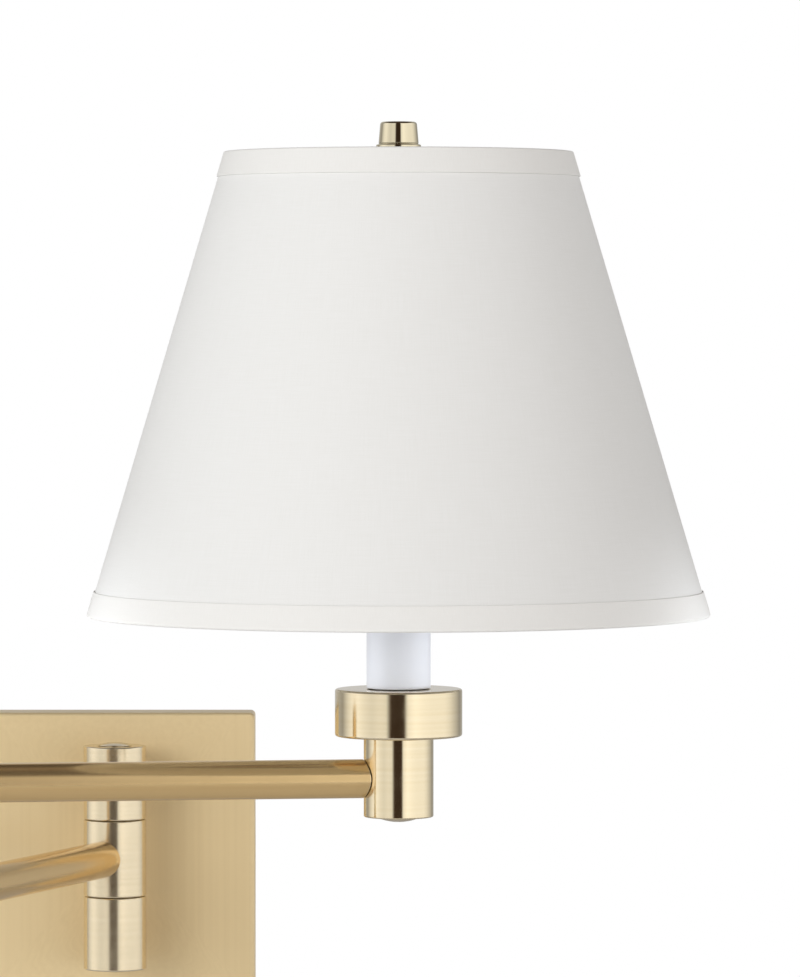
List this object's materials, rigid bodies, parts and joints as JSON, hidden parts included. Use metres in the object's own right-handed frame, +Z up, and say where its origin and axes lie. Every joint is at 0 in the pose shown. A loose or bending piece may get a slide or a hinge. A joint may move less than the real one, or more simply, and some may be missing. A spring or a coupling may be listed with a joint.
{
  "type": "swing arm wall sconce",
  "caption": "Wall sconce on a square brass backplate with two jointed swing arms, a candle-sleeve lamp holder and a white empire shade with a knob finial.",
  "frame": {"origin": "centre of the wall bracket's back face, on the wall plane", "axes": "+Z up, +Y into the wall, -Y out into the room, +X to the right seen from the room"},
  "size_m": [0.4163, 0.4017, 0.465],
  "materials": {
    "satin_brass": "brushed, lacquered",
    "polished_brass": "polished",
    "zinc_steel": "zinc plated",
    "ground_green": "green dyed plating",
    "candle_white": "satin",
    "phenolic_black": "moulded",
    "frosted_glass": "frosted",
    "shade_styrene": "smooth",
    "shade_fabric": "fine plain weave",
    "lead_grey": "moulded"
  },
  "bodies": {
    "base": {"wall_bracket": "zinc_steel", "ground_screw": "ground_green", "backplate": "satin_brass", "lock_screw_left": "satin_brass", "lock_screw_right": "satin_brass", "stem_upper": "satin_brass", "stem_lower": "satin_brass", "stem_nut_upper": "zinc_steel", "stem_nut_lower": "zinc_steel", "post_block_upper": "satin_brass", "post_block_lower": "satin_brass", "post_cap_top": "satin_brass", "post_cap_bottom": "satin_brass", "post_nipple_upper": "zinc_steel", "post_nipple_lower": "zinc_steel", "post_nut_upper": "zinc_steel", "post_nut_lower": "zinc_steel", "lead_base": "lead_grey"},
    "inner_arm": {"post_sleeve": "satin_brass", "inner_arm_tube": "satin_brass", "elbow_barrel_lower": "satin_brass", "elbow_cap_bottom": "satin_brass", "elbow_collar": "satin_brass", "elbow_nipple": "zinc_steel", "elbow_nut_lower": "zinc_steel", "lead_inner": "lead_grey"},
    "outer_arm": {"elbow_barrel_upper": "satin_brass", "elbow_cap_top": "satin_brass", "elbow_nut_upper": "zinc_steel", "outer_arm_tube": "satin_brass", "hub": "satin_brass", "hub_cap": "satin_brass", "cup": "satin_brass", "cup_plate": "satin_brass", "stem_pipe": "zinc_steel", "pipe_nut": "zinc_steel", "candle_sleeve": "candle_white", "sleeve_cap": "satin_brass", "harp_saddle": "polished_brass", "harp": "polished_brass", "harp_stud": "polished_brass", "socket_cap": "polished_brass", "socket_body": "phenolic_black", "socket_shell": "polished_brass", "bulb": "frosted_glass", "lead_outer": "lead_grey"},
    "switch_key": {"switch_key": "phenolic_black"},
    "ferrule_left": {"ferrule_left": "polished_brass"},
    "ferrule_right": {"ferrule_right": "polished_brass"},
    "shade": {"shade_spider": "zinc_steel", "shade_bottom_ring": "zinc_steel", "shade_liner": "shade_styrene", "shade_fabric": "shade_fabric", "shade_trim_top": "shade_fabric", "shade_trim_bottom": "shade_fabric"},
    "finial": {"finial": "polished_brass"}
  },
  "joints": [
    {"name": "inner_arm_swing", "type": "hinge", "parent": "base", "child": "inner_arm", "pos_m": [0, -0.052, 0], "axis": [0, 0, 1], "range_deg": [-68.3, 111.7]},
    {"name": "outer_arm_swing", "type": "hinge", "parent": "inner_arm", "child": "outer_arm", "pos_m": [-0.09072, -0.27959, 0.029], "axis": [0, 0, 1], "range_deg": [-274.7, 35.3]},
    {"name": "switch_turn", "type": "hinge", "parent": "outer_arm", "child": "switch_key", "pos_m": [0.1519, -0.24549, 0.182], "axis": [0, -1, 0], "continuous": true},
    {"name": "ferrule_left_lift", "type": "slide", "parent": "outer_arm", "child": "ferrule_left", "axis": [0, 0, 1], "range_m": [0, 0.01]},
    {"name": "ferrule_right_lift", "type": "slide", "parent": "outer_arm", "child": "ferrule_right", "axis": [0, 0, 1], "range_m": [0, 0.01]},
    {"name": "shade_turn", "type": "hinge", "parent": "outer_arm", "child": "shade", "pos_m": [0.1519, -0.24549, 0.3605], "axis": [0, 0, 1], "continuous": true},
    {"name": "finial_turn", "type": "hinge", "parent": "outer_arm", "child": "finial", "pos_m": [0.1519, -0.24549, 0.3705], "axis": [0, 0, 1], "continuous": true}
  ]
}
